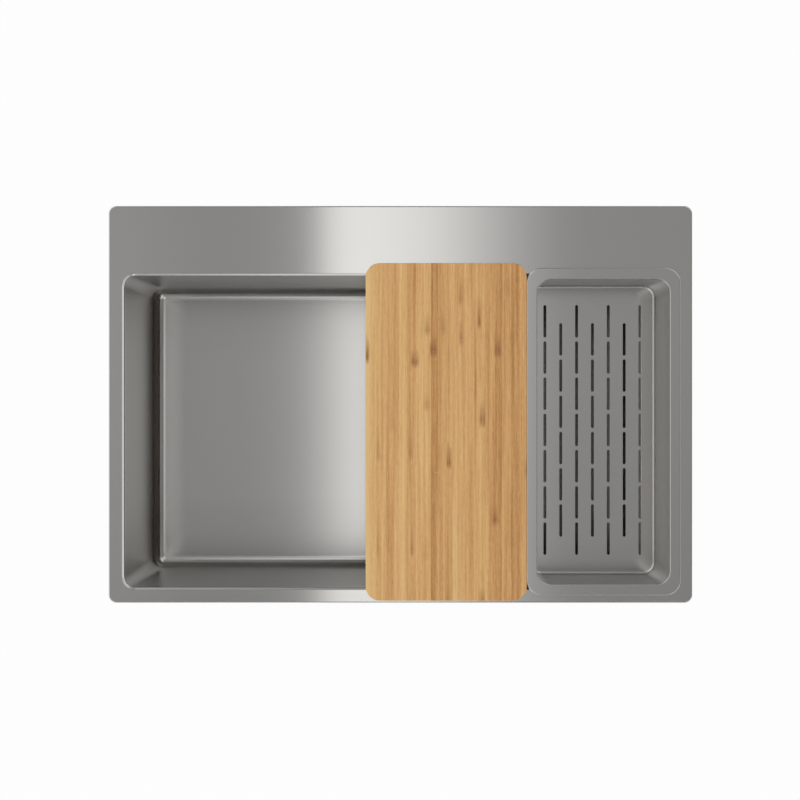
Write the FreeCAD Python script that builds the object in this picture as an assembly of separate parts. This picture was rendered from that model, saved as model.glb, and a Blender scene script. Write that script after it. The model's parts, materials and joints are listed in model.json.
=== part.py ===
"""Inset stainless steel kitchen sink with one wide bowl, a bamboo board and a slotted tray that lie across it.

Frame: millimetres, +X right, +Y towards the tap ledge at the back, +Z up. The origin is the middle of the
sink on the plane where its rim rests on the worktop.
"""

import FreeCAD, Part
import math
import os

# Deck: a pressed plate with a turned-down rim outside and a turned-down collar round the bowl
SINK_WIDTH = 750.0
SINK_LENGTH = 510.0
DECK_SHEET = 1.2
RIM_HEIGHT = 5.0
RIM_CORNER_RADIUS = 10.0
RIM_EDGE_RADIUS = 2.0
SIDE_RIM = 20.0
FRONT_RIM = 20.0
LEDGE_DEPTH = 90.0
LIP_BEVEL = 3.0
COLLAR_DEPTH = 10.0

# Bowl: welded edge to edge under the collar
BOWL_SHEET = 1.0
BOWL_DEPTH = 200.0
BOWL_CORNER_RADIUS = 15.0
FLOOR_RADIUS = 14.5

# Drain seat: a ring pressed down into the bowl floor for the waste flange
DRAIN_X = 58.0
DRAIN_HOLE_RADIUS = 45.0
SEAT_RADIUS = 58.0
SEAT_DEPTH = 3.2
SEAT_SLOPE = 4.0

# Seal strip under the rim, and the angle rail that stiffens the tap ledge
SEAL_WIDTH = 7.0
SEAL_GAP = 0.8
RAIL_SHEET = 1.5
RAIL_LEG = 24.0
RAIL_DROP = 42.0
RAIL_END_GAP = 30.0

# Clamping clips: a bent bracket, a screw, and a claw that turns on a nut
CLIP_SHEET = 1.5
CLIP_TOP_GAP = 5.0
CLIP_HEIGHT = 50.0
CLIP_WIDTH = 16.0
CLIP_REACH = 10.0
CLIP_BEND_RADIUS = 2.0
CLIP_CORNER_GAP = 126.0
CLIP_END_GAP = 81.0
SCREW_OFFSET = 5.8
SCREW_RADIUS = 2.0
SCREW_HEAD_RADIUS = 3.6
SCREW_HEAD_HEIGHT = 2.6
SCREW_STICK_OUT = 1.0
DRIVE_SLOT_WIDTH = 0.9
DRIVE_SLOT_DEPTH = 1.2
SCREW_CLEARANCE = 0.1
THREAD_CLEARANCE = 0.05
NUT_SIDE = 7.0
NUT_HEIGHT = 3.2
NUT_REST_GAP = 3.5
CLAW_SHEET = 2.0
CLAW_HALF_WIDTH = 4.0
CLAW_LENGTH = 27.0
CLAW_TOOTH_HEIGHT = 3.0
CLAW_TOOTH_LENGTH = 2.4
CLAW_CLEARANCE = 0.15

# Sound-damping pads glued to the outside of the bowl
PAD_THICKNESS = 2.0
PAD_CORNER_RADIUS = 12.0
PAD_CLIP_GAP = 12.0
PAD_FLOOR_GAP = 10.0
PAD_END_GAP = 90.0
PAD_BASE_GAP = 60.0
PAD_DRAIN_GAP = 8.0

# Waste: a steel cup let into the bowl floor and a plastic body drawn up under it by one screw
FLANGE_RADIUS = 56.5
FLANGE_SHEET = 1.2
CUP_SHEET = 0.8
CUP_TOP_RADIUS = 42.0
CUP_FOOT_RADIUS = 39.0
CUP_DEPTH = 40.0
CUP_HOLE_COUNT = 6
CUP_HOLE_RADIUS = 8.0
CUP_HOLE_CIRCLE = 23.0
FLANGE_GASKET_THICKNESS = 1.0
FLANGE_GASKET_MARGIN = 1.5
BODY_GASKET_THICKNESS = 3.0
BODY_FLANGE_RADIUS = 58.0
BODY_FLANGE_THICKNESS = 5.0
BODY_WALL = 3.0
BODY_INNER_RADIUS = 46.5
BODY_FUNNEL_DROP = 18.0
BODY_FUNNEL_RADIUS = 9.0
BODY_SUMP_GAP = 6.0
OUTLET_RADIUS = 23.9
OUTLET_WALL = 3.9
OUTLET_LENGTH = 26.0
BOSS_RADIUS = 7.5
BOSS_LENGTH = 18.0
BOSS_WEB_COUNT = 3
BOSS_WEB_THICKNESS = 3.0
BOSS_WEB_DROP = 3.0
CLAMP_SCREW_RADIUS = 3.0
CLAMP_SCREW_LENGTH = 15.0
CLAMP_HEAD_RADIUS = 6.5
CLAMP_HEAD_HEIGHT = 3.0
CLAMP_SLOT_WIDTH = 1.4
CLAMP_SLOT_DEPTH = 1.5

# Strainer basket: a perforated cup with a rubber foot and a lifting knob
BASKET_SHEET = 0.8
BASKET_TOP_RADIUS = 36.0
BASKET_FOOT_RADIUS = 33.0
BASKET_HEIGHT = 30.0
BASKET_LIP_CLEARANCE = 0.5
BASKET_SEAL_HEIGHT = 4.0
BASKET_SEAL_BORE = 8.5
BASKET_SLOT_COUNT = 16
BASKET_SLOT_WIDTH = 3.0
BASKET_SLOT_HEIGHT = 14.0
BASKET_HOLE_COUNT = 10
BASKET_HOLE_RADIUS = 2.5
BASKET_HOLE_CIRCLE = 22.0
STEM_RADIUS = 3.5
STEM_FOOT_RADIUS = 8.0
STEM_FOOT_HEIGHT = 1.5
STEM_LENGTH = 20.0
KNOB_RADIUS = 10.0
KNOB_HEIGHT = 11.0
KNOB_SOCKET_DEPTH = 6.0
KNOB_SOCKET_CLEARANCE = 0.05
KNOB_CROWN_RADIUS = 3.0
KNOB_WAIST_RADIUS = 7.0

# Slotted tray that hangs in the bowl by its flange
TRAY_SHEET = 0.8
TRAY_WIDTH = 198.5
TRAY_END_OVERLAP = 10.0
TRAY_SIDE_OVERLAP = 4.5
TRAY_FLANGE = 14.5
TRAY_FLANGE_HEIGHT = 3.0
TRAY_CORNER_RADIUS = 20.0
TRAY_TUB_RADIUS = 17.0
TRAY_DEPTH = 86.0
TRAY_FLOOR_RADIUS = 3.5
TRAY_EDGE_RADIUS = 1.5
TRAY_LIP_RADIUS = 1.2
SLOT_LENGTH = 44.0
SLOT_WIDTH = 4.0
SLOT_BRIDGE = 5.1
SLOT_ROWS = 7
SLOT_COLUMNS = 7
SLOT_PITCH = 21.5

# Bamboo board that bridges the bowl and slides along it
BOARD_WIDTH = 205.2
BOARD_END_OVERLAP = 15.0
BOARD_TOP_THICKNESS = 14.0
BOARD_TONGUE_DEPTH = 6.0
BOARD_TONGUE_CLEARANCE = 1.5
BOARD_CORNER_RADIUS = 18.0
BOARD_EDGE_RADIUS = 2.0
BOARD_TRAY_GAP = 0.3

# How far every cutting solid runs past the face that it cuts
OVERRUN = 2.0

# Heights and places that follow from the sizes above
DECK_TOP = RIM_HEIGHT
DECK_UNDER = DECK_TOP - DECK_SHEET
COLLAR_BOTTOM = DECK_TOP - COLLAR_DEPTH
FLOOR_TOP = DECK_TOP - BOWL_DEPTH
FLOOR_UNDER = FLOOR_TOP - BOWL_SHEET
OPENING_WIDTH = SINK_WIDTH - 2 * SIDE_RIM
OPENING_LENGTH = SINK_LENGTH - FRONT_RIM - LEDGE_DEPTH
OPENING_Y = (FRONT_RIM - LEDGE_DEPTH) / 2
BOWL_OUTER_WIDTH = OPENING_WIDTH + 2 * BOWL_SHEET
BOWL_OUTER_LENGTH = OPENING_LENGTH + 2 * BOWL_SHEET

SEAT_TOP = FLOOR_TOP - SEAT_DEPTH
SEAT_UNDER = SEAT_TOP - BOWL_SHEET
FLANGE_UNDER = SEAT_TOP + FLANGE_GASKET_THICKNESS
FLANGE_TOP = FLANGE_UNDER + FLANGE_SHEET
CUP_FLOOR = FLANGE_UNDER - CUP_DEPTH
CUP_UNDER = CUP_FLOOR - CUP_SHEET
BODY_TOP = SEAT_UNDER - BODY_GASKET_THICKNESS
BODY_FUNNEL_TOP = CUP_UNDER - BODY_SUMP_GAP
OUTLET_TOP = BODY_FUNNEL_TOP - BODY_FUNNEL_DROP
OUTLET_BOTTOM = OUTLET_TOP - OUTLET_LENGTH
OUTLET_BORE = OUTLET_RADIUS - OUTLET_WALL

BASKET_FOOT = CUP_FLOOR + BASKET_SEAL_HEIGHT
BASKET_TOP = BASKET_FOOT + BASKET_HEIGHT
STEM_BOTTOM = BASKET_FOOT + BASKET_SHEET
STEM_TOP = STEM_BOTTOM + STEM_LENGTH
KNOB_BOTTOM = STEM_TOP - KNOB_SOCKET_DEPTH

CLIP_TOP = COLLAR_BOTTOM - CLIP_TOP_GAP
CLIP_BOTTOM = CLIP_TOP - CLIP_HEIGHT
NUT_BOTTOM = CLIP_BOTTOM + CLIP_SHEET + NUT_REST_GAP
NUT_TOP = NUT_BOTTOM + NUT_HEIGHT
CLAW_TOP = NUT_TOP + CLAW_SHEET
RAIL_Y = SINK_LENGTH / 2 - (FRONT_RIM - BOWL_SHEET)

TRAY_TOP = DECK_TOP + TRAY_FLANGE_HEIGHT
TRAY_LENGTH = OPENING_LENGTH + 2 * TRAY_END_OVERLAP
TRAY_X = OPENING_WIDTH / 2 + TRAY_SIDE_OVERLAP - TRAY_WIDTH / 2
TRAY_FLOOR = DECK_TOP - TRAY_DEPTH
TUB_WIDTH = TRAY_WIDTH - 2 * TRAY_FLANGE
TUB_LENGTH = TRAY_LENGTH - 2 * TRAY_FLANGE

BOARD_LENGTH = OPENING_LENGTH + 2 * BOARD_END_OVERLAP
BOARD_X = TRAY_X - TRAY_WIDTH / 2 - BOARD_TRAY_GAP - BOARD_WIDTH / 2
BOARD_TOP = DECK_TOP + BOARD_TOP_THICKNESS
TONGUE_BOTTOM = DECK_TOP - BOARD_TONGUE_DEPTH
TONGUE_LENGTH = OPENING_LENGTH - 2 * BOARD_TONGUE_CLEARANCE

OPENING_CENTRE = (0, OPENING_Y)
DRAIN_CENTRE = (DRAIN_X, OPENING_Y)
TRAY_CENTRE = (TRAY_X, OPENING_Y)
BOARD_CENTRE = (BOARD_X, OPENING_Y)
UP = FreeCAD.Vector(0, 0, 1)
NEAR = 1e-4


def point(x, y, z):
    return FreeCAD.Vector(x, y, z)


def rounded_block(width, length, bottom, top, radius, centre=(0, 0)):
    """An upright block with rounded vertical corners, between two heights."""
    corner = point(centre[0] - width / 2, centre[1] - length / 2, bottom)
    block = Part.makeBox(width, length, top - bottom, corner)
    upright = [edge for edge in block.Edges if edge.BoundBox.ZLength > NEAR]
    return block.makeFillet(radius, upright)


def flat_edges(shape, height, width=None, length=None, centre=(0, 0)):
    """Edges that lie at one height, and inside a rectangle where one is given."""
    found = []
    for edge in shape.Edges:
        box = edge.BoundBox
        level = abs(box.ZMin - height) < NEAR and abs(box.ZMax - height) < NEAR
        inside = width is None or (
            max(box.XMax - centre[0], centre[0] - box.XMin) < width / 2 + NEAR
            and max(box.YMax - centre[1], centre[1] - box.YMin) < length / 2 + NEAR
        )
        if level and inside:
            found.append(edge)
    return found


def pan(width, length, bottom, top, corner, floor_radius, centre):
    """A block with rounded corners whose bottom edge is rounded too, as the inside of a pressed pan is."""
    block = rounded_block(width, length, bottom, top, corner, centre)
    return block.makeFillet(floor_radius, flat_edges(block, bottom))


def turned(outline, centre=DRAIN_CENTRE):
    """A solid of revolution about an upright axis, from points of radius and height."""
    corners = [point(radius, 0, height) for radius, height in outline]
    face = Part.Face(Part.makePolygon(corners + corners[:1]))
    solid = face.revolve(point(0, 0, 0), UP, 360)
    solid.translate(point(centre[0], centre[1], 0))
    return solid


def drum(radius, bottom, top, centre=DRAIN_CENTRE):
    return Part.makeCylinder(radius, top - bottom, point(centre[0], centre[1], bottom))


def round_circles(shape, radius, circles):
    """Rounds the circular edges that have these radii and heights."""
    found = [
        edge
        for edge in shape.Edges
        for circle_radius, height in circles
        if isinstance(edge.Curve, Part.Circle)
        and abs(edge.Curve.Radius - circle_radius) < NEAR
        and abs(edge.Curve.Center.z - height) < NEAR
    ]
    return shape.makeFillet(radius, found)


def deck_plate():
    outer = rounded_block(SINK_WIDTH, SINK_LENGTH, 0, DECK_TOP, RIM_CORNER_RADIUS)
    outer = outer.makeFillet(RIM_EDGE_RADIUS, flat_edges(outer, DECK_TOP))
    inner = rounded_block(
        SINK_WIDTH - 2 * DECK_SHEET,
        SINK_LENGTH - 2 * DECK_SHEET,
        -OVERRUN,
        DECK_UNDER,
        RIM_CORNER_RADIUS - DECK_SHEET,
    )
    inner = inner.makeFillet(RIM_EDGE_RADIUS - DECK_SHEET, flat_edges(inner, DECK_UNDER))
    collar_width = OPENING_WIDTH + 2 * DECK_SHEET
    collar_length = OPENING_LENGTH + 2 * DECK_SHEET
    collar = rounded_block(
        collar_width,
        collar_length,
        COLLAR_BOTTOM,
        DECK_UNDER,
        BOWL_CORNER_RADIUS + DECK_SHEET,
        OPENING_CENTRE,
    )
    opening = rounded_block(
        OPENING_WIDTH,
        OPENING_LENGTH,
        COLLAR_BOTTOM - OVERRUN,
        DECK_TOP + OVERRUN,
        BOWL_CORNER_RADIUS,
        OPENING_CENTRE,
    )
    plate = outer.cut(inner).fuse(collar).cut(opening).removeSplitter()
    lip = flat_edges(plate, DECK_TOP, OPENING_WIDTH, OPENING_LENGTH, OPENING_CENTRE)
    plate = plate.makeChamfer(LIP_BEVEL, lip)
    bend = flat_edges(plate, DECK_UNDER, collar_width, collar_length, OPENING_CENTRE)
    return plate.makeChamfer(LIP_BEVEL - DECK_SHEET * (2 - math.sqrt(2)), bend)


def bowl():
    inside = pan(
        OPENING_WIDTH,
        OPENING_LENGTH,
        FLOOR_TOP,
        COLLAR_BOTTOM + OVERRUN,
        BOWL_CORNER_RADIUS,
        FLOOR_RADIUS,
        OPENING_CENTRE,
    )
    outside = pan(
        BOWL_OUTER_WIDTH,
        BOWL_OUTER_LENGTH,
        FLOOR_UNDER,
        COLLAR_BOTTOM,
        BOWL_CORNER_RADIUS + BOWL_SHEET,
        FLOOR_RADIUS + BOWL_SHEET,
        OPENING_CENTRE,
    )
    rim_radius = SEAT_RADIUS + SEAT_SLOPE
    seat = turned(
        [
            (rim_radius, FLOOR_TOP),
            (SEAT_RADIUS, SEAT_TOP),
            (DRAIN_HOLE_RADIUS, SEAT_TOP),
            (DRAIN_HOLE_RADIUS, SEAT_UNDER),
            (SEAT_RADIUS, SEAT_UNDER),
            (rim_radius, FLOOR_UNDER),
        ]
    )
    shell = outside.cut(inside).cut(drum(rim_radius, FLOOR_UNDER - OVERRUN, FLOOR_TOP + OVERRUN))
    return shell.fuse(seat).removeSplitter()


def rim_seal():
    """A foam strip, one closed loop, pressed between the deck and the worktop."""
    width = SINK_WIDTH - 2 * (DECK_SHEET + SEAL_GAP)
    length = SINK_LENGTH - 2 * (DECK_SHEET + SEAL_GAP)
    corner = RIM_CORNER_RADIUS - DECK_SHEET - SEAL_GAP
    loop = rounded_block(width, length, 0, DECK_UNDER, corner)
    hole_width = width - 2 * SEAL_WIDTH
    hole_length = length - 2 * SEAL_WIDTH
    hole = rounded_block(hole_width, hole_length, -OVERRUN, DECK_UNDER + OVERRUN, corner)
    return loop.cut(hole)


def rear_stiffener():
    """An angle rail welded under the tap ledge. Its upright leg carries the rear clips."""
    length = OPENING_WIDTH - 2 * RAIL_END_GAP
    corners = [
        (RAIL_Y, DECK_UNDER),
        (RAIL_Y, DECK_UNDER - RAIL_DROP),
        (RAIL_Y - RAIL_SHEET, DECK_UNDER - RAIL_DROP),
        (RAIL_Y - RAIL_SHEET, DECK_UNDER - RAIL_SHEET),
        (RAIL_Y - RAIL_LEG, DECK_UNDER - RAIL_SHEET),
        (RAIL_Y - RAIL_LEG, DECK_UNDER),
    ]
    outline = [point(-length / 2, y, z) for y, z in corners]
    rail = Part.Face(Part.makePolygon(outline + outline[:1])).extrude(point(length, 0, 0))
    bend = [
        edge
        for edge in rail.Edges
        if edge.BoundBox.XLength > NEAR
        and abs(edge.BoundBox.YMin - RAIL_Y) < NEAR
        and abs(edge.BoundBox.ZMin - DECK_UNDER) < NEAR
    ]
    return rail.makeFillet(RAIL_SHEET, bend)


def clip_spots():
    """Where each clip sits: its place on a wall, and the way that wall faces in degrees from +X."""
    side_wall = BOWL_OUTER_WIDTH / 2
    front_wall = OPENING_Y - BOWL_OUTER_LENGTH / 2
    along_front = side_wall - CLIP_CORNER_GAP
    along_side = BOWL_OUTER_LENGTH / 2 - CLIP_END_GAP
    spots = []
    for side in (-1, 1):
        spots.append((side * along_front, front_wall, -90))
        spots.append((side * along_front, RAIL_Y, 90))
    for end in (-1, 1):
        spots.append((-side_wall, OPENING_Y + end * along_side, 180))
        spots.append((side_wall, OPENING_Y + end * along_side, 0))
    return spots


def at_spot(shape, spot):
    """Moves a clip piece from a wall that faces +X at the origin to its own place."""
    placed = shape.copy()
    placed.rotate(point(0, 0, 0), UP, spot[2])
    placed.translate(point(spot[0], spot[1], 0))
    return placed


def clip_bracket():
    corners = [
        (0, CLIP_TOP),
        (CLIP_REACH, CLIP_TOP),
        (CLIP_REACH, CLIP_TOP - CLIP_SHEET),
        (CLIP_SHEET, CLIP_TOP - CLIP_SHEET),
        (CLIP_SHEET, CLIP_BOTTOM + CLIP_SHEET),
        (CLIP_REACH, CLIP_BOTTOM + CLIP_SHEET),
        (CLIP_REACH, CLIP_BOTTOM),
        (0, CLIP_BOTTOM),
    ]
    outline = [point(x, -CLIP_WIDTH / 2, z) for x, z in corners]
    bracket = Part.Face(Part.makePolygon(outline + outline[:1])).extrude(point(0, CLIP_WIDTH, 0))
    bends = [
        edge
        for edge in bracket.Edges
        if edge.BoundBox.YLength > NEAR and abs(edge.BoundBox.XMax) < NEAR
    ]
    bracket = bracket.makeFillet(CLIP_BEND_RADIUS, bends)
    hole = drum(SCREW_RADIUS + SCREW_CLEARANCE, CLIP_BOTTOM - OVERRUN, CLIP_TOP + OVERRUN, (SCREW_OFFSET, 0))
    return bracket.cut(hole)


def clip_screw():
    axis = (SCREW_OFFSET, 0)
    head_bottom = CLIP_BOTTOM - SCREW_HEAD_HEIGHT
    head = drum(SCREW_HEAD_RADIUS, head_bottom, CLIP_BOTTOM, axis)
    shank = drum(SCREW_RADIUS, CLIP_BOTTOM, CLIP_TOP + SCREW_STICK_OUT, axis)
    slot = Part.makeBox(
        2 * SCREW_HEAD_RADIUS + OVERRUN,
        DRIVE_SLOT_WIDTH,
        DRIVE_SLOT_DEPTH + OVERRUN,
        point(SCREW_OFFSET - SCREW_HEAD_RADIUS - OVERRUN / 2, -DRIVE_SLOT_WIDTH / 2, head_bottom - OVERRUN),
    )
    return head.fuse(shank).cut(slot)


def clip_nut():
    corner = point(SCREW_OFFSET - NUT_SIDE / 2, -NUT_SIDE / 2, NUT_BOTTOM)
    block = Part.makeBox(NUT_SIDE, NUT_SIDE, NUT_HEIGHT, corner)
    bore = SCREW_RADIUS + THREAD_CLEARANCE
    return block.cut(drum(bore, NUT_BOTTOM - OVERRUN, NUT_TOP + OVERRUN, (SCREW_OFFSET, 0)))


def clip_claw():
    """A flat arm with a round heel about the screw and a tooth turned up at its tip, stowed along the wall."""
    arm = Part.makeBox(
        2 * CLAW_HALF_WIDTH, CLAW_LENGTH, CLAW_SHEET, point(SCREW_OFFSET - CLAW_HALF_WIDTH, 0, NUT_TOP)
    )
    tooth = Part.makeBox(
        2 * CLAW_HALF_WIDTH,
        CLAW_TOOTH_LENGTH,
        CLAW_TOOTH_HEIGHT,
        point(SCREW_OFFSET - CLAW_HALF_WIDTH, CLAW_LENGTH - CLAW_TOOTH_LENGTH, CLAW_TOP),
    )
    heel = drum(CLAW_HALF_WIDTH, NUT_TOP, CLAW_TOP, (SCREW_OFFSET, 0))
    hole = drum(SCREW_RADIUS + CLAW_CLEARANCE, NUT_TOP - OVERRUN, CLAW_TOP + OVERRUN, (SCREW_OFFSET, 0))
    return arm.fuse(heel).fuse(tooth).removeSplitter().cut(hole)


def wall_pad(length, spot):
    """A damping pad on one wall of the bowl, between the clips and the rounded floor edge."""
    top = CLIP_BOTTOM - PAD_CLIP_GAP
    bottom = FLOOR_TOP + FLOOR_RADIUS + PAD_FLOOR_GAP
    pad = Part.makeBox(PAD_THICKNESS, length, top - bottom, point(0, -length / 2, bottom))
    corners = [edge for edge in pad.Edges if edge.BoundBox.XLength > NEAR]
    return at_spot(pad.makeFillet(PAD_CORNER_RADIUS, corners), spot)


def wall_pads():
    side_wall = BOWL_OUTER_WIDTH / 2
    front_wall = OPENING_Y - BOWL_OUTER_LENGTH / 2
    rear_wall = OPENING_Y + BOWL_OUTER_LENGTH / 2
    long_pad = BOWL_OUTER_WIDTH - 2 * PAD_END_GAP
    short_pad = BOWL_OUTER_LENGTH - 2 * PAD_END_GAP
    return {
        "sound_pad_front": wall_pad(long_pad, (0, front_wall, -90)),
        "sound_pad_rear": wall_pad(long_pad, (0, rear_wall, 90)),
        "sound_pad_left": wall_pad(short_pad, (-side_wall, OPENING_Y, 180)),
        "sound_pad_right": wall_pad(short_pad, (side_wall, OPENING_Y, 0)),
    }


def sound_pad_base():
    width = BOWL_OUTER_WIDTH - 2 * PAD_BASE_GAP
    length = BOWL_OUTER_LENGTH - 2 * PAD_BASE_GAP
    bottom = FLOOR_UNDER - PAD_THICKNESS
    pad = rounded_block(width, length, bottom, FLOOR_UNDER, PAD_CORNER_RADIUS, OPENING_CENTRE)
    clear_radius = SEAT_RADIUS + SEAT_SLOPE + PAD_DRAIN_GAP
    return pad.cut(drum(clear_radius, bottom - OVERRUN, FLOOR_UNDER + OVERRUN))


def waste_flange():
    """The steel flange and cup in one pressing, with holes in the cup floor for the water."""
    cup = turned(
        [
            (FLANGE_RADIUS, FLANGE_UNDER),
            (FLANGE_RADIUS, FLANGE_TOP),
            (CUP_TOP_RADIUS, FLANGE_TOP),
            (CUP_FOOT_RADIUS, CUP_FLOOR),
            (0, CUP_FLOOR),
            (0, CUP_UNDER),
            (CUP_FOOT_RADIUS + CUP_SHEET, CUP_UNDER),
            (CUP_TOP_RADIUS + CUP_SHEET, FLANGE_UNDER),
        ]
    )
    cup = round_circles(cup, FLANGE_SHEET / 2, [(FLANGE_RADIUS, FLANGE_TOP), (CUP_TOP_RADIUS, FLANGE_TOP)])
    cup = cup.cut(drum(CLAMP_SCREW_RADIUS + SCREW_CLEARANCE, CUP_UNDER - OVERRUN, CUP_FLOOR + OVERRUN))
    for number in range(CUP_HOLE_COUNT):
        turn = 2 * math.pi * number / CUP_HOLE_COUNT
        spot = (DRAIN_X + CUP_HOLE_CIRCLE * math.cos(turn), OPENING_Y + CUP_HOLE_CIRCLE * math.sin(turn))
        cup = cup.cut(drum(CUP_HOLE_RADIUS, CUP_UNDER - OVERRUN, CUP_FLOOR + OVERRUN, spot))
    return cup


def ring(inner, outer, bottom, top):
    return drum(outer, bottom, top).cut(drum(inner, bottom - OVERRUN, top + OVERRUN))


def waste_body():
    """The plastic sump under the bowl: a flange, a funnel, an outlet spigot and a webbed boss for the screw."""
    funnel_outer = BODY_INNER_RADIUS + BODY_WALL
    shell = turned(
        [
            (BODY_INNER_RADIUS, BODY_TOP),
            (BODY_FLANGE_RADIUS, BODY_TOP),
            (BODY_FLANGE_RADIUS, BODY_TOP - BODY_FLANGE_THICKNESS),
            (funnel_outer, BODY_TOP - BODY_FLANGE_THICKNESS),
            (funnel_outer, BODY_FUNNEL_TOP),
            (OUTLET_RADIUS, OUTLET_TOP),
            (OUTLET_RADIUS, OUTLET_BOTTOM),
            (OUTLET_BORE, OUTLET_BOTTOM),
            (OUTLET_BORE, OUTLET_TOP + BODY_WALL),
            (BODY_INNER_RADIUS, BODY_FUNNEL_TOP + BODY_WALL),
        ]
    )
    shell = round_circles(shell, BODY_FUNNEL_RADIUS, [(funnel_outer, BODY_FUNNEL_TOP)])
    boss = drum(BOSS_RADIUS, CUP_UNDER - BOSS_LENGTH, CUP_UNDER)
    web_top = CUP_UNDER - BOSS_WEB_DROP
    web_bottom = CUP_UNDER - BOSS_LENGTH
    web_reach = BODY_INNER_RADIUS + BODY_WALL / 2
    web = Part.makeBox(
        web_reach, BOSS_WEB_THICKNESS, web_top - web_bottom, point(0, -BOSS_WEB_THICKNESS / 2, web_bottom)
    )
    inside = turned(
        [
            (0, BODY_TOP),
            (funnel_outer - BODY_WALL / 2, BODY_TOP),
            (funnel_outer - BODY_WALL / 2, BODY_FUNNEL_TOP + BODY_WALL),
            (OUTLET_BORE, OUTLET_TOP + BODY_WALL),
            (0, OUTLET_TOP + BODY_WALL),
        ]
    )
    for number in range(BOSS_WEB_COUNT):
        turn = 360 * number / BOSS_WEB_COUNT
        boss = boss.fuse(at_spot(web, (DRAIN_X, OPENING_Y, turn)))
    body = shell.fuse(boss.common(inside)).removeSplitter()
    hole_bottom = CUP_FLOOR - CLAMP_SCREW_LENGTH - SCREW_CLEARANCE
    return body.cut(drum(CLAMP_SCREW_RADIUS + SCREW_CLEARANCE, hole_bottom, CUP_UNDER + OVERRUN))


def clamp_screw():
    head = drum(CLAMP_HEAD_RADIUS, CUP_FLOOR, CUP_FLOOR + CLAMP_HEAD_HEIGHT)
    head = round_circles(head, CLAMP_HEAD_HEIGHT / 2, [(CLAMP_HEAD_RADIUS, CUP_FLOOR + CLAMP_HEAD_HEIGHT)])
    shank = drum(CLAMP_SCREW_RADIUS, CUP_FLOOR - CLAMP_SCREW_LENGTH, CUP_FLOOR)
    slot = Part.makeBox(
        2 * CLAMP_HEAD_RADIUS + OVERRUN,
        CLAMP_SLOT_WIDTH,
        CLAMP_SLOT_DEPTH + OVERRUN,
        point(
            DRAIN_X - CLAMP_HEAD_RADIUS - OVERRUN / 2,
            OPENING_Y - CLAMP_SLOT_WIDTH / 2,
            CUP_FLOOR + CLAMP_HEAD_HEIGHT - CLAMP_SLOT_DEPTH,
        ),
    )
    return head.fuse(shank).cut(slot)


def basket_cup():
    lip_radius = CUP_TOP_RADIUS - (CUP_TOP_RADIUS - CUP_FOOT_RADIUS) * (FLANGE_TOP - BASKET_TOP) / CUP_DEPTH
    lip_radius = lip_radius - BASKET_LIP_CLEARANCE
    cup = turned(
        [
            (0, BASKET_FOOT),
            (BASKET_FOOT_RADIUS, BASKET_FOOT),
            (BASKET_TOP_RADIUS, BASKET_TOP - BASKET_SHEET),
            (lip_radius, BASKET_TOP - BASKET_SHEET),
            (lip_radius, BASKET_TOP),
            (BASKET_TOP_RADIUS - BASKET_SHEET, BASKET_TOP),
            (BASKET_FOOT_RADIUS - BASKET_SHEET, STEM_BOTTOM),
            (0, STEM_BOTTOM),
        ]
    )
    slot_bottom = (BASKET_FOOT + BASKET_TOP - BASKET_SLOT_HEIGHT) / 2
    slot = Part.makeBox(
        BASKET_TOP_RADIUS + OVERRUN,
        BASKET_SLOT_WIDTH,
        BASKET_SLOT_HEIGHT,
        point(0, -BASKET_SLOT_WIDTH / 2, slot_bottom),
    )
    cuts = []
    for number in range(BASKET_SLOT_COUNT):
        cuts.append(at_spot(slot, (DRAIN_X, OPENING_Y, 360 * number / BASKET_SLOT_COUNT)))
    for number in range(BASKET_HOLE_COUNT):
        turn = 2 * math.pi * number / BASKET_HOLE_COUNT
        spot = (DRAIN_X + BASKET_HOLE_CIRCLE * math.cos(turn), OPENING_Y + BASKET_HOLE_CIRCLE * math.sin(turn))
        cuts.append(drum(BASKET_HOLE_RADIUS, BASKET_FOOT - OVERRUN, STEM_BOTTOM + OVERRUN, spot))
    return cup.cut(cuts)


def basket_stem():
    foot = drum(STEM_FOOT_RADIUS, STEM_BOTTOM, STEM_BOTTOM + STEM_FOOT_HEIGHT)
    return foot.fuse(drum(STEM_RADIUS, STEM_BOTTOM + STEM_FOOT_HEIGHT, STEM_TOP))


def basket_knob():
    """A waisted finger knob with a crowned top, pushed on to the stem."""
    top = KNOB_BOTTOM + KNOB_HEIGHT
    socket = STEM_RADIUS + KNOB_SOCKET_CLEARANCE
    knob = turned(
        [
            (socket, KNOB_BOTTOM),
            (KNOB_WAIST_RADIUS, KNOB_BOTTOM),
            (KNOB_RADIUS, top - KNOB_CROWN_RADIUS),
            (KNOB_RADIUS, top),
            (0, top),
            (0, STEM_TOP),
            (socket, STEM_TOP),
        ]
    )
    return round_circles(knob, KNOB_CROWN_RADIUS - NEAR, [(KNOB_RADIUS, top)])


def tray_slots():
    """Rows of round-ended slots; every second column is one slot shorter and shifted by half a step."""
    step = SLOT_LENGTH + SLOT_BRIDGE
    bottom = TRAY_FLOOR - TRAY_SHEET - OVERRUN
    top = TRAY_FLOOR + OVERRUN
    slots = []
    for column in range(SLOT_COLUMNS):
        x = TRAY_X + (column - (SLOT_COLUMNS - 1) / 2) * SLOT_PITCH
        rows = SLOT_ROWS - column % 2
        for row in range(rows):
            y = OPENING_Y + (row - (rows - 1) / 2) * step
            slots.append(rounded_block(SLOT_WIDTH, SLOT_LENGTH, bottom, top, SLOT_WIDTH / 2 - NEAR, (x, y)))
    return slots


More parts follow.
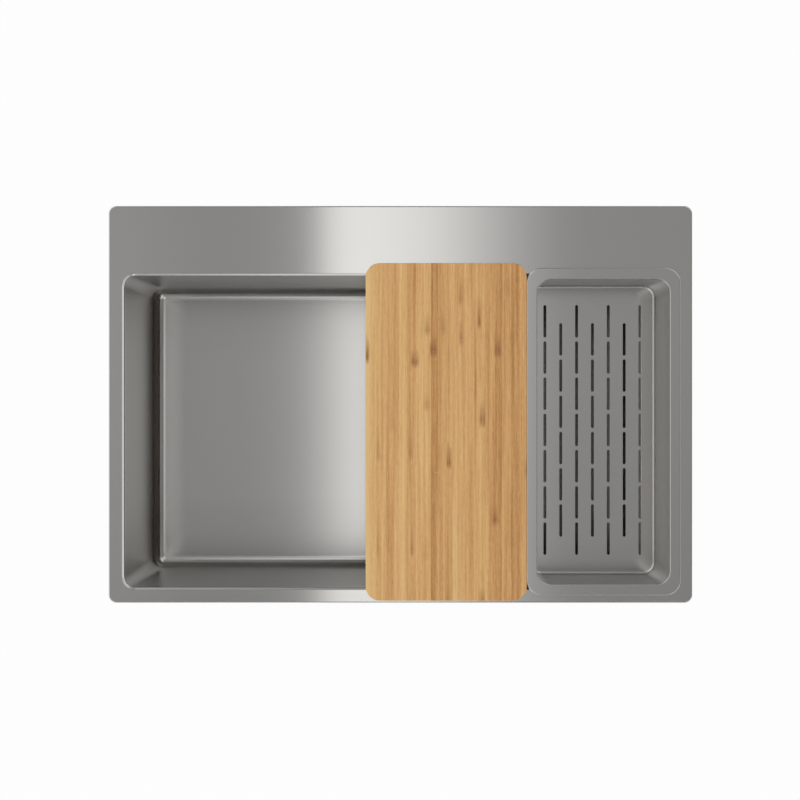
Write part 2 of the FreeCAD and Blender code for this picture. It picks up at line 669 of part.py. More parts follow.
def colander():
    flange = rounded_block(TRAY_WIDTH, TRAY_LENGTH, DECK_TOP, TRAY_TOP, TRAY_CORNER_RADIUS, TRAY_CENTRE)
    flange = flange.makeFillet(TRAY_EDGE_RADIUS, flat_edges(flange, TRAY_TOP))
    hollow = rounded_block(
        TRAY_WIDTH - 2 * TRAY_SHEET,
        TRAY_LENGTH - 2 * TRAY_SHEET,
        DECK_TOP - OVERRUN,
        TRAY_TOP - TRAY_SHEET,
        TRAY_CORNER_RADIUS - TRAY_SHEET,
        TRAY_CENTRE,
    )
    hollow = hollow.makeFillet(TRAY_EDGE_RADIUS - TRAY_SHEET, flat_edges(hollow, TRAY_TOP - TRAY_SHEET))
    tub = pan(
        TUB_WIDTH + 2 * TRAY_SHEET,
        TUB_LENGTH + 2 * TRAY_SHEET,
        TRAY_FLOOR - TRAY_SHEET,
        TRAY_TOP - TRAY_SHEET,
        TRAY_TUB_RADIUS + TRAY_SHEET,
        TRAY_FLOOR_RADIUS + TRAY_SHEET,
        TRAY_CENTRE,
    )
    inside = pan(
        TUB_WIDTH, TUB_LENGTH, TRAY_FLOOR, TRAY_TOP + OVERRUN, TRAY_TUB_RADIUS, TRAY_FLOOR_RADIUS, TRAY_CENTRE
    )
    tray = flange.cut(hollow).fuse(tub).cut(inside).removeSplitter()
    tray = tray.makeFillet(TRAY_LIP_RADIUS, flat_edges(tray, TRAY_TOP, TUB_WIDTH, TUB_LENGTH, TRAY_CENTRE))
    return tray.cut(tray_slots())


def cutting_board():
    """A bamboo slab with a shallow tongue below that keeps it between the front and back of the bowl."""
    slab = rounded_block(BOARD_WIDTH, BOARD_LENGTH, DECK_TOP, BOARD_TOP, BOARD_CORNER_RADIUS, BOARD_CENTRE)
    slab = slab.makeFillet(BOARD_EDGE_RADIUS, flat_edges(slab, BOARD_TOP))
    tongue = rounded_block(
        BOARD_WIDTH, TONGUE_LENGTH, TONGUE_BOTTOM, DECK_TOP, BOARD_CORNER_RADIUS, BOARD_CENTRE
    )
    tongue = tongue.makeFillet(BOARD_EDGE_RADIUS, flat_edges(tongue, TONGUE_BOTTOM))
    return slab.fuse(tongue).removeSplitter()


def pieces():
    """Every node of the sink by name."""
    spots = clip_spots()
    gasket_inner = CUP_TOP_RADIUS + CUP_SHEET + FLANGE_GASKET_MARGIN
    gasket_outer = FLANGE_RADIUS - FLANGE_GASKET_MARGIN
    nodes = {
        "deck_plate": deck_plate(),
        "bowl": bowl(),
        "rim_seal": rim_seal(),
        "rear_stiffener": rear_stiffener(),
        "clip_brackets": Part.makeCompound([at_spot(clip_bracket(), spot) for spot in spots]),
        "sound_pad_base": sound_pad_base(),
        "waste_flange": waste_flange(),
        "flange_gasket": ring(max(gasket_inner, DRAIN_HOLE_RADIUS), gasket_outer, SEAT_TOP, FLANGE_UNDER),
        "body_gasket": ring(BODY_INNER_RADIUS, BODY_FLANGE_RADIUS, BODY_TOP, SEAT_UNDER),
        "waste_body": waste_body(),
        "clamp_screw": clamp_screw(),
        "basket_cup": basket_cup(),
        "basket_seal": ring(BASKET_SEAL_BORE, BASKET_FOOT_RADIUS, CUP_FLOOR, BASKET_FOOT),
        "basket_stem": basket_stem(),
        "basket_knob": basket_knob(),
        "colander": colander(),
        "cutting_board": cutting_board(),
    }
    nodes.update(wall_pads())
    for number, spot in enumerate(spots, 1):
        nodes[f"clip_screw_{number}"] = at_spot(clip_screw(), spot)
        nodes[f"clip_nut_{number}"] = at_spot(clip_nut(), spot)
        nodes[f"clip_claw_{number}"] = at_spot(clip_claw(), spot)
    return nodes


def main():
    os.makedirs("parts", exist_ok=True)
    for name, shape in pieces().items():
        shape.exportStep(f"parts/{name}.step")
        print(f"{name}: {len(shape.Solids)} solids, valid {shape.isValid()}, {shape.Volume / 1000:.2f} cm3")


main()
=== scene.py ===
"""Looks of the inset sink: brushed steel deck, bowl and slotted tray, bamboo board, and fittings below."""

import json
import math

import bmesh
import bpy
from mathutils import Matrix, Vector

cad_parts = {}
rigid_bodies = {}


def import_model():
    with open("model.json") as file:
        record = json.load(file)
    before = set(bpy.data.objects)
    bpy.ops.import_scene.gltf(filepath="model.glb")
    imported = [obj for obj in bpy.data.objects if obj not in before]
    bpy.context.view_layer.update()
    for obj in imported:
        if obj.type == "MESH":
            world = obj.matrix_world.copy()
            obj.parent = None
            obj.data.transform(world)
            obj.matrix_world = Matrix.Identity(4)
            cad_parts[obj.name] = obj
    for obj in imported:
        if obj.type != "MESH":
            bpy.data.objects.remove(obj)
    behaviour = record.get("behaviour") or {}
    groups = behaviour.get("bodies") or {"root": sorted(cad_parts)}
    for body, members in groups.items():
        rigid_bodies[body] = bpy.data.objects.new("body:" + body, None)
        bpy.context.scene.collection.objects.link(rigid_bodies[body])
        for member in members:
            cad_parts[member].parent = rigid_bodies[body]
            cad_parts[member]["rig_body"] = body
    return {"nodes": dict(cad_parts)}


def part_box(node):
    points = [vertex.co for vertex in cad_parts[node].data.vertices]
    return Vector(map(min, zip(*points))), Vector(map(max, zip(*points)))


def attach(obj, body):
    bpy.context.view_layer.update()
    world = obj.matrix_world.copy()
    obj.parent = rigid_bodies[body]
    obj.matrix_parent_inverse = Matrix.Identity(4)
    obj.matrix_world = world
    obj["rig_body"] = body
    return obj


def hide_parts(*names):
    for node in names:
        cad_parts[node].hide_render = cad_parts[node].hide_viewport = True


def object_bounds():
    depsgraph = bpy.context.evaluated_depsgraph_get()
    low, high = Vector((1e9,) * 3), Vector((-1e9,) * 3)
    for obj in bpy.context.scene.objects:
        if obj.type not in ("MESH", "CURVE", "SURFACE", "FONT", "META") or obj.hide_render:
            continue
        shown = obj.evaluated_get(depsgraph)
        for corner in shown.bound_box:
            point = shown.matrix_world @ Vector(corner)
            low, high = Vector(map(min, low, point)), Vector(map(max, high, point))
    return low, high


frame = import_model()
cad_low, cad_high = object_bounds()

MM = 0.001

# Sheet thicknesses and bends of the pressed steel pieces
DECK_SHEET = 1.2 * MM
RIM_CORNER = 10.0 * MM
RIM_EDGE = 2.0 * MM
LIP_BEVEL = 3.0 * MM
LIP_EASE = 2.5 * MM
BOWL_SHEET = 1.0 * MM
BOWL_CORNER = 15.0 * MM
FLOOR_BEND = 14.5 * MM
TRAY_SHEET = 0.8 * MM
TRAY_FLANGE = 14.5 * MM
TRAY_CORNER = 20.0 * MM
TRAY_EDGE = 1.5 * MM
TUB_CORNER = 17.0 * MM
TUB_LIP = 1.2 * MM
TUB_FLOOR_BEND = 3.5 * MM

# Drain seat pressed into the bowl floor
SEAT_RADIUS = 58.0 * MM
SEAT_SLOPE = 4.0 * MM
SEAT_DEPTH = 3.2 * MM
DRAIN_HOLE = 45.0 * MM

# Slots in the tray floor: long columns of seven alternate with short columns of six
SLOT_LENGTH = 44.0 * MM
SLOT_WIDTH = 4.0 * MM
SLOT_STEP = 49.1 * MM
COLUMN_PITCH = 21.5 * MM
LONG_COLUMNS = 4
LONG_ROWS = 7
# Each corner's radius is a little under half the slot's width, which keeps the corners of an end apart
SLOT_ROUND_SHARE = 0.499
SLOT_ROUND_STEPS = 8
SLOT_CUT_DROP = 2 * TRAY_SHEET
SLOT_CUT_DEPTH = 5 * TRAY_SHEET
SLOT_JOIN_GAP = 0.01 * MM

# Threads: a coarse one on the clip screws and a pipe thread on the outlet
CLIP_THREAD = {"Radius": 2.0 * MM, "Pitch": 0.7 * MM, "Depth": 0.3 * MM, "Steps in a turn": 10}
CLIP_HEAD_HEIGHT = 2.6 * MM
OUTLET_THREAD_PITCH = 2.31 * MM
OUTLET_THREAD = {"Radius": 23.9 * MM, "Pitch": OUTLET_THREAD_PITCH, "Depth": 1.1 * MM, "Steps in a turn": 48}
OUTLET_THREAD_LENGTH = 19.0 * MM
GROOVE_SIDES = 4

# Smoothness of the rounded corners and bends
CORNER_STEPS = 12
BEND_STEPS = 8
SHARP_ANGLE = math.radians(50)
FLAT_WEIGHT = 100
HOLD = 0.5 * MM
HELD_SPAN = 4 * HOLD
HELD_SHARE = 0.25
JOIN_GAP = 0.001 * MM

# Ways that a bend goes from its wall and from its flat
INWARD = -1
OUTWARD = 1
DOWNWARD = -1
UPWARD = 1

# Camera: straight above the deck, with the photograph's width on the deck plane
PHOTO_WIDTH = 1027.0 * MM
CAMERA_HEIGHT = 1530.0 * MM
CAMERA_X = -0.7 * MM
CAMERA_Y = 5.6 * MM
CAMERA_NEAR = 10.0 * MM
CAMERA_FAR = 100000.0 * MM
SENSOR = 36.0

# Studio floor, just below the outlet
FLOOR_REACH = 12000.0 * MM
FLOOR_DROP = 2.0 * MM

# A softbox hung above the sink, made of strips that dim towards the right
SOFTBOX_HEIGHT = 2300.0 * MM
SOFTBOX_LENGTH = 3000.0 * MM
SOFTBOX_LEFT = -250.0 * MM
SOFTBOX_STRIP = 75.0 * MM
SOFTBOX_RADIANCE = 1.15
SOFTBOX_STRIP_SHARES = (1.0, 0.97, 0.88, 0.82, 0.76, 0.62, 0.45, 0.3, 0.17, 0.08)

# Light of the room: an even base and patches. A patch is the product of its fades, and a fade has the way
# that it runs, where along it the fade starts and ends, and its light at the start and at the end
ROOM_BASE_SHARE = 0.18
ROOM_PATCH_SHARES = {
    "ceiling": (
        ("height", 0.92, 0.95, 0.0, 1.0),
        ("depth", -0.2, 0.0, 0.165, 0.252),
    ),
    "left glow": (
        ("height", 0.92, 0.95, 0.0, 1.0),
        ("side", -0.24, -0.17, 0.1, 0.0),
    ),
    "horizon": (
        ("height", 0.3, 0.42, 1.0, 0.0),
        ("facing side", -0.25, -0.05, 0.65, 0.32),
    ),
    "front cove": (
        ("height", 0.87, 0.88, 0.0, 1.0),
        ("height", 0.91, 0.92, 1.0, 0.0),
        ("facing depth", -0.85, -0.65, 0.9, 0.0),
    ),
    "rear cove": (
        ("height", 0.85, 0.87, 0.0, 1.0),
        ("height", 0.905, 0.925, 1.0, 0.0),
        ("facing depth", 0.4, 0.75, 0.0, 0.5),
    ),
    "corners": (
        ("height", 0.2, 0.4, 0.0, 1.0),
        ("height", 0.72, 0.84, 1.0, 0.0),
        ("corner", 0.25, 0.45, 0.0, 1.1),
    ),
    "left wall": (
        ("height", 0.22, 0.32, 0.0, 1.0),
        ("height", 0.7, 0.8, 1.0, 0.0),
        ("facing side", -0.97, -0.88, 1.1, 0.0),
    ),
    "right wall": (
        ("height", -0.05, 0.02, 0.0, 1.0),
        ("height", 0.1, 0.35, 1.0, 0.0),
        ("facing side", 0.75, 0.95, 0.0, 1.1),
    ),
    "front strip": (
        ("height", -0.05, 0.02, 0.0, 1.0),
        ("height", 0.2, 0.35, 1.0, 0.0),
        ("facing side", -0.22, -0.05, 0.0, 1.3),
        ("facing side", 0.03, 0.12, 1.0, 0.0),
        ("facing depth", -0.6, -0.5, 1.0, 0.0),
    ),
}

# Kinds of node that are used most
MATH = "ShaderNodeMath"
VECTOR_MATH = "ShaderNodeVectorMath"
MAP_RANGE = "ShaderNodeMapRange"
MIX = "ShaderNodeMix"
RAMP = "ShaderNodeValToRGB"
NOISE = "ShaderNodeTexNoise"
VORONOI = "ShaderNodeTexVoronoi"
BUMP = "ShaderNodeBump"
COORDINATES = "ShaderNodeTexCoord"
SEPARATE = "ShaderNodeSeparateXYZ"
PRINCIPLED = "ShaderNodeBsdfPrincipled"
OUTPUT = "ShaderNodeOutputMaterial"


def middle(low, high):
    """The centre of a box, seen from above."""
    return Vector(((high.x + low.x) / 2, (high.y + low.y) / 2))


def rounded_box(low, high, corner, inset=0):
    """A rounded rectangle set in from a box seen from above: half its size, corner radius and centre."""
    half = Vector(((high.x - low.x) / 2 - inset, (high.y - low.y) / 2 - inset))
    return half, corner, middle(low, high)


def spread(shape, by):
    """The same rounded rectangle, larger all round by a length, or smaller if that is negative."""
    half, corner, centre = shape
    return Vector((half.x + by, half.y + by)), corner + by, centre


deck_low, deck_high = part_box("deck_plate")
bowl_low, bowl_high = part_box("bowl")
tray_low, tray_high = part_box("colander")
flange_low, flange_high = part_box("waste_flange")

deck_top = deck_high.z
bowl_floor = bowl_low.z + SEAT_DEPTH + BOWL_SHEET
rim = rounded_box(deck_low, deck_high, RIM_CORNER)
opening = rounded_box(bowl_low, bowl_high, BOWL_CORNER, BOWL_SHEET)
tray_rim = rounded_box(tray_low, tray_high, TRAY_CORNER)
tub = rounded_box(tray_low, tray_high, TUB_CORNER, TRAY_FLANGE)
drain_centre = middle(flange_low, flange_high)


def linear(hex_colour):
    """An sRGB hex value as linear red, green, blue and alpha."""
    parts = [int(hex_colour[i : i + 2], 16) / 255 for i in (1, 3, 5)]
    return tuple(p / 12.92 if p <= 0.04045 else ((p + 0.055) / 1.055) ** 2.4 for p in parts) + (1.0,)


def add(tree, kind, inputs=None, stops=(), **settings):
    """Adds a node with its settings, the values or links of its inputs, and the stops of a colour ramp."""
    made = tree.nodes.new(kind)
    for name, value in settings.items():
        setattr(made, name, value)
    for name, value in (inputs or {}).items():
        if isinstance(value, bpy.types.NodeSocket):
            tree.links.new(value, made.inputs[name])
        else:
            made.inputs[name].default_value = value
    for number, (place, colour) in enumerate(stops):
        elements = made.color_ramp.elements
        element = elements[number] if number < len(elements) else elements.new(place)
        element.position = place
        element.color = linear(colour)
    return made


def new_material(name):
    """An empty node material, and its tree."""
    material = bpy.data.materials.new(name)
    material.use_nodes = True
    tree = material.node_tree
    tree.nodes.clear()
    return material, tree


def brushed_steel(name, flat_roughness, wall_roughness, bent_share, drawn_share):
    """Stainless sheet, ground and then bent: fine scratches, satin on flats and duller on walls."""
    colour = "#C2C1BE"
    scratch_length = 45.0 * MM
    # Real scratches are about 0.1 mm wide; they are drawn ten times coarser, so that they show
    scratch_width = 1.0 * MM
    scratch_depth_share = 0.02
    relief_height = 0.05 * MM
    relief_share = 0.05
    stretch_share = 0.75
    # Gives the scratches a direction on front and rear walls, where the bend leaves none
    sideways_shares = (0.3, 0, 0)
    # Where each change starts and ends, from 0 on an upright wall to 1 on a flat
    wall_shares = {1: 0.1, 2: 0.4}
    steep_shares = {1: 0.4, 2: 0.6}
    flat_shares = {1: 0.99, 2: 0.999}
    finish_shares = {1: 0.4, 2: 0.9}

    material, tree = new_material(name)
    place = add(tree, COORDINATES).outputs["Object"]
    normal = add(tree, "ShaderNodeNewGeometry").outputs["Normal"]
    upward = add(tree, SEPARATE, {0: normal}).outputs[2]
    flatness = add(tree, MATH, {0: upward}, operation="ABSOLUTE").outputs[0]

    # Scratches run along the flats. On end walls they turn down with the sheet or stay level
    bent = add(tree, VECTOR_MATH, {0: (0, 1, 0), 1: normal}, operation="CROSS_PRODUCT").outputs[0]
    leaning = add(tree, VECTOR_MATH, {0: bent, 1: sideways_shares}, operation="ADD").outputs[0]
    level = add(tree, VECTOR_MATH, {0: (0, 0, 1), 1: normal}, operation="CROSS_PRODUCT").outputs[0]
    lying = add(tree, MAP_RANGE, {0: flatness, 3: bent_share, 4: 1.0} | wall_shares).outputs[0]
    mixed = add(tree, MIX, {"Factor": lying, 4: level, 5: leaning}, data_type="VECTOR").outputs[1]

    # On a bend they can be drawn down its slope
    slope = add(tree, VECTOR_MATH, {0: level, 1: normal}, operation="CROSS_PRODUCT").outputs[0]
    drawn = add(tree, VECTOR_MATH, {0: slope}, operation="NORMALIZE").outputs[0]
    steep_end = add(tree, MAP_RANGE, {0: flatness, 3: 0.0, 4: drawn_share} | steep_shares).outputs[0]
    flat_end = add(tree, MAP_RANGE, {0: flatness, 3: 1.0, 4: 0.0} | flat_shares).outputs[0]
    on_bend = add(tree, MATH, {0: steep_end, 1: flat_end}, operation="MULTIPLY").outputs[0]
    turned = add(tree, MIX, {"Factor": on_bend, 4: mixed, 5: drawn}, data_type="VECTOR").outputs[1]
    grain = add(tree, VECTOR_MATH, {0: turned}, operation="NORMALIZE").outputs[0]
    across = add(tree, VECTOR_MATH, {0: normal, 1: grain}, operation="CROSS_PRODUCT").outputs[0]

    steps = {}
    for axis, (direction, size) in enumerate(((grain, scratch_length), (across, scratch_width))):
        run = add(tree, VECTOR_MATH, {0: place, 1: direction}, operation="DOT_PRODUCT").outputs["Value"]
        steps[axis] = add(tree, MATH, {0: run, 1: 1 / size}, operation="MULTIPLY").outputs[0]
    pattern = add(tree, "ShaderNodeCombineXYZ", steps).outputs[0]
    scratches = add(tree, NOISE, {"Vector": pattern, "Scale": 1.0, "Detail": 3.0}).outputs[0]
    finish = {0: flatness, 3: wall_roughness, 4: flat_roughness} | finish_shares
    even = add(tree, MAP_RANGE, finish).outputs[0]
    uneven = {0: scratches, 3: -scratch_depth_share, 4: scratch_depth_share}
    ripple = add(tree, MAP_RANGE, uneven).outputs[0]
    relief = {"Strength": relief_share, "Distance": relief_height, "Height": scratches}
    skin = {
        "Base Color": linear(colour),
        "Metallic": 1.0,
        "Anisotropic": stretch_share,
        "Roughness": add(tree, MATH, {0: even, 1: ripple}, operation="ADD").outputs[0],
        "Normal": add(tree, BUMP, relief).outputs[0],
        "Tangent": across,
    }
    shader = add(tree, PRINCIPLED, skin).outputs[0]
    add(tree, OUTPUT, {"Surface": shader})
    return material


def brushed_stainless():
    """Brushed stainless steel: a bright satin sheet, whose grain runs along the deck and down its ends."""
    return brushed_steel(
        "brushed_stainless_steel",
        flat_roughness=0.175,
        wall_roughness=0.3,
        bent_share=1.0,
        drawn_share=0.0,
    )


def pressed_stainless():
    """Pressed stainless steel: as bright as the deck, level on its walls and drawn down over its bends."""
    return brushed_steel(
        "pressed_stainless_steel",
        flat_roughness=0.175,
        wall_roughness=0.36,
        bent_share=0.0,
        drawn_share=1.0,
    )


def satin_brushed_stainless():
    """Satin brushed stainless steel: duller than the deck, its grain drawn down over the floor's bend."""
    return brushed_steel(
        "satin_brushed_stainless_steel",
        flat_roughness=0.23,
        wall_roughness=0.38,
        bent_share=1.0,
        drawn_share=1.0,
    )


def plain_metal(name, colour, patch_colour, roughness, patch_size):
    """Metal without a grain: a cloudy skin, darker and duller in patches."""
    clear_share = 0.35
    patch_share = 0.7
    uneven_share = 0.08
    material, tree = new_material(name)
    place = add(tree, COORDINATES).outputs["Object"]
    clouds = add(tree, NOISE, {"Vector": place, "Scale": 1 / patch_size, "Detail": 4.0}).outputs[0]
    stops = ((clear_share, colour), (patch_share, patch_colour))
    uneven = {0: clouds, 3: roughness - uneven_share, 4: roughness + uneven_share}
    skin = {
        "Base Color": add(tree, RAMP, {0: clouds}, stops).outputs[0],
        "Metallic": 1.0,
        "Roughness": add(tree, MAP_RANGE, uneven).outputs[0],
    }
    shader = add(tree, PRINCIPLED, skin).outputs[0]
    add(tree, OUTPUT, {"Surface": shader})
    return material


def satin_stainless():
    """Satin stainless steel, turned or pressed: a soft grey sheen with broad, faint clouds."""
    return plain_metal(
        "satin_stainless_steel",
        colour="#C4C3C0",
        patch_colour="#B4B3B0",
        roughness=0.25,
        patch_size=30.0 * MM,
    )


def zinc_plated_steel():
    """Zinc plated steel: a cool, half-dull grey with the small mottle of its plating."""
    return plain_metal(
        "zinc_plated_steel",
        colour="#B9BDC2",
        patch_colour="#A4A9AE",
        roughness=0.34,
        patch_size=8.0 * MM,
    )


def grained_polymer(name, colour, worn_colour, roughness, grain_size, relief_height):
    """Rubber, foam or moulded plastic: a fine pebbled skin over one dull colour that drifts a little."""
    drift_size = 40.0 * MM
    fresh_share = 0.35
    worn_share = 0.75
    uneven_share = 0.06
    relief_share = 0.6
    material, tree = new_material(name)
    place = add(tree, COORDINATES).outputs["Object"]
    drift = add(tree, NOISE, {"Vector": place, "Scale": 1 / drift_size, "Detail": 3.0}).outputs[0]
    pebbles = add(tree, NOISE, {"Vector": place, "Scale": 1 / grain_size, "Detail": 2.0}).outputs[0]
    stops = ((fresh_share, colour), (worn_share, worn_colour))
    uneven = {0: pebbles, 3: roughness - uneven_share, 4: roughness + uneven_share}
    relief = {"Strength": relief_share, "Distance": relief_height, "Height": pebbles}
    skin = {
        "Base Color": add(tree, RAMP, {0: drift}, stops).outputs[0],
        "Roughness": add(tree, MAP_RANGE, uneven).outputs[0],
        "Normal": add(tree, BUMP, relief).outputs[0],
    }
    shader = add(tree, PRINCIPLED, skin).outputs[0]
    add(tree, OUTPUT, {"Surface": shader})
    return material


def butyl_sheet():
    """Rolled butyl sheet: nearly black and dull, with a coarse pebble that catches a little light."""
    return grained_polymer(
        "butyl_damping_sheet",
        colour="#2A2B2D",
        worn_colour="#353638",
        roughness=0.72,
        grain_size=2.4 * MM,
        relief_height=0.3 * MM,
    )


def closed_cell_foam():
    """Closed cell foam strip: black and almost without gloss, with the grain of its cut cells."""
    return grained_polymer(
        "closed_cell_foam",
        colour="#1E1F20",
        worn_colour="#28292B",
        roughness=0.85,
        grain_size=1.2 * MM,
        relief_height=0.25 * MM,
    )


def moulded_rubber():
    """Moulded rubber: deep black with a half gloss and hardly any grain."""
    return grained_polymer(
        "moulded_rubber",
        colour="#161617",
        worn_colour="#1E1E20",
        roughness=0.5,
        grain_size=1.5 * MM,
        relief_height=0.05 * MM,
    )


def white_polypropylene():
    """Moulded white polypropylene: off-white with a soft gloss and hardly any grain."""
    return grained_polymer(
        "white_polypropylene",
        colour="#E4E4E0",
        worn_colour="#DCDCD6",
        roughness=0.42,
        grain_size=1.0 * MM,
        relief_height=0.03 * MM,
    )


def grey_plastic():
    """Moulded grey plastic: dark grey with a soft gloss and hardly any grain."""
    return grained_polymer(
        "grey_moulded_plastic",
        colour="#4A4B4D",
        worn_colour="#535456",
        roughness=0.4,
        grain_size=1.0 * MM,
        relief_height=0.03 * MM,
    )


def bamboo():
    """Steamed laminated bamboo: strips of differing tone, straight fibres, dark marks at the cane's nodes,
    and painted light that pales its left side.
    """
    cane_stops = ((0.0, "#B57D47"), (0.25, "#CC955B"), (0.5, "#DEA96E"), (0.75, "#EBBB7C"), (1.0, "#F4CA8B"))
    mark_colour = "#9A6238"
    rung_colour = "#E2BE8C"
    # Painted light: the board's colour pales towards its left and most along its left edge, standing in for
    # light falling from the left
    painted_light_start = -60.0 * MM
    painted_edge_light_end = 20.0 * MM
    painted_light_end = 200.0 * MM
    painted_light_left_share = 0.32
    painted_light_right_share = 0.06
    painted_edge_light_share = 0.56
    ground_share = -1.03
    # What each layer adds to the tone
    strip_width = 10.0 * MM
    strip_share = 0.44
    band_width = 34.0 * MM
    band_share = 0.16
    scatter_share = 0.9
    streak_size = (3.4 * MM, 220.0 * MM, 3.4 * MM)
    streak_share = 1.1
    fibre_size = (0.9 * MM, 26.0 * MM, 0.9 * MM)
    fibre_share = 0.7
    fleck_size = (1.6 * MM, 7.0 * MM, 1.6 * MM)
    fleck_share = 0.35
    # A dark mark stands on its node and fades upwards, and a pale rung can cross it
    mark_column = 21.0 * MM
    mark_spacing = 86.0 * MM
    mark_width = 4.6 * MM
    mark_rise = 26.0 * MM
    mark_foot = 9.0 * MM
    rung_width = 5.0 * MM
    rung_height = 1.3 * MM
    least_breadth_share = 0.45
    most_stretch_share = 1.7
    broken_shares = {1: 0.2, 2: 0.6}
    mark_strength_shares = {1: 0.4, 2: 1.0, 3: 0.0, 4: 2.0}
    rung_strength_shares = {1: 0.6, 2: 1.0, 3: 0.0, 4: 0.6}
    # The skin is half dull, and its fibres can just be felt
    roughness_shares = {3: 0.45, 4: 0.62}
    relief_share = 0.15
    relief_height = 0.1 * MM
    gloss_share = 0.3

    material, tree = new_material("laminated_bamboo")
    place = add(tree, COORDINATES).outputs["Object"]
    side = add(tree, SEPARATE, {0: place}).outputs[0]

    def grain(size, detail):
        """Noise drawn out along the board."""
        scale = tuple(1 / length for length in size)
        where = add(tree, "ShaderNodeMapping", {"Vector": place, "Scale": scale}).outputs[0]
        return add(tree, NOISE, {"Vector": where, "Scale": 1.0, "Detail": detail}).outputs[0]

    def strips(width):
        """A tone for each glued strip of about this width."""
        where = add(tree, MATH, {0: side, 1: 1 / width}, operation="MULTIPLY").outputs[0]
        scatter = {"W": where, "Scale": 1.0, "Randomness": scatter_share}
        found = add(tree, VORONOI, scatter, voronoi_dimensions="1D").outputs["Color"]
        return add(tree, "ShaderNodeSeparateColor", {0: found}).outputs[0]

    fibres = grain(fibre_size, 3.0)
    # Painted light: a slope of colour paler to the left, and a band of painted light along the left edge
    painted_light_sloping = {0: side, 1: painted_light_start, 2: painted_light_end, 3: painted_light_left_share, 4: painted_light_right_share}
    slope = add(tree, MAP_RANGE, painted_light_sloping).outputs[0]
    painted_edge_light_range = {0: side, 1: painted_light_start, 2: painted_edge_light_end, 3: painted_edge_light_share, 4: 0.0}
    edge = add(tree, MAP_RANGE, painted_edge_light_range).outputs[0]
    base = add(tree, MATH, {0: slope, 1: edge}, operation="ADD").outputs[0]
    tone = add(tree, MATH, {0: base, 1: ground_share}, operation="ADD").outputs[0]
    layers = (
        (strips(strip_width), strip_share),
        (strips(band_width), band_share),
        (grain(streak_size, 2.0), streak_share),
        (fibres, fibre_share),
        (grain(fleck_size, 2.0), fleck_share),
    )
    for layer, share in layers:
        tone = add(tree, MATH, {0: layer, 1: share, 2: tone}, operation="MULTIPLY_ADD").outputs[0]
    colour = add(tree, RAMP, {0: tone}, cane_stops).outputs[0]

    # One mark is scattered in each cell, with chances for its strength, its rung and its breadth
    spacing = (1 / mark_column, 1 / mark_spacing, 0.0)
    cell = add(tree, "ShaderNodeMapping", {"Vector": place, "Scale": spacing}).outputs[0]
    scatter = {"Vector": cell, "Scale": 1.0, "Randomness": 1.0}
    marks = add(tree, VORONOI, scatter, voronoi_dimensions="2D").outputs
    offset = add(tree, VECTOR_MATH, {0: cell, 1: marks["Position"]}, operation="SUBTRACT").outputs[0]
    gap = add(tree, SEPARATE, {0: offset}).outputs
    chance = add(tree, "ShaderNodeSeparateColor", {0: marks["Color"]}).outputs
    aside = add(tree, MATH, {0: gap[0]}, operation="ABSOLUTE").outputs[0]
    beyond = add(tree, MATH, {0: gap[1]}, operation="ABSOLUTE").outputs[0]
    breadth = add(tree, MATH, {0: chance[2], 1: least_breadth_share}, operation="ADD").outputs[0]
    narrowed = add(tree, MATH, {0: aside, 1: breadth}, operation="DIVIDE").outputs[0]
    stretch = add(tree, MATH, {0: most_stretch_share, 1: chance[2]}, operation="SUBTRACT").outputs[0]
    shortened = add(tree, MATH, {0: gap[1], 1: stretch}, operation="DIVIDE").outputs[0]
    reaches = {
        "mark width": (narrowed, mark_width / mark_column),
        "mark rise": (shortened, mark_rise / mark_spacing),
        "rung width": (aside, rung_width / mark_column),
        "rung height": (beyond, rung_height / mark_spacing),
    }
    fades = {}
    for part, (distance, reach) in reaches.items():
        fades[part] = add(tree, MAP_RANGE, {0: distance, 2: reach, 3: 1.0, 4: 0.0}).outputs[0]
    foot = add(tree, MAP_RANGE, {0: gap[1], 1: -mark_foot / mark_spacing, 2: 0.0}).outputs[0]
    broken = add(tree, MAP_RANGE, {0: fibres} | broken_shares).outputs[0]
    dark = add(tree, MAP_RANGE, {0: chance[0]} | mark_strength_shares).outputs[0]
    pale = add(tree, MAP_RANGE, {0: chance[1]} | rung_strength_shares).outputs[0]
    tints = {
        mark_colour: (dark, fades["mark width"], fades["mark rise"], foot, broken),
        rung_colour: (fades["rung width"], fades["rung height"], pale),
    }
    for tint, (share, *factors) in tints.items():
        for factor in factors:
            both = {0: share, 1: factor}
            share = add(tree, MATH, both, operation="MULTIPLY", use_clamp=True).outputs[0]
        blend = {"Factor": share, 6: colour, 7: linear(tint)}
        colour = add(tree, MIX, blend, data_type="RGBA").outputs[2]

    relief = {"Strength": relief_share, "Distance": relief_height, "Height": fibres}
    skin = {
        "Base Color": colour,
        "Roughness": add(tree, MAP_RANGE, {0: fibres} | roughness_shares).outputs[0],
        "Normal": add(tree, BUMP, relief).outputs[0],
        "Specular IOR Level": gloss_share,
    }
    shader = add(tree, PRINCIPLED, skin).outputs[0]
    add(tree, OUTPUT, {"Surface": shader})
    return material


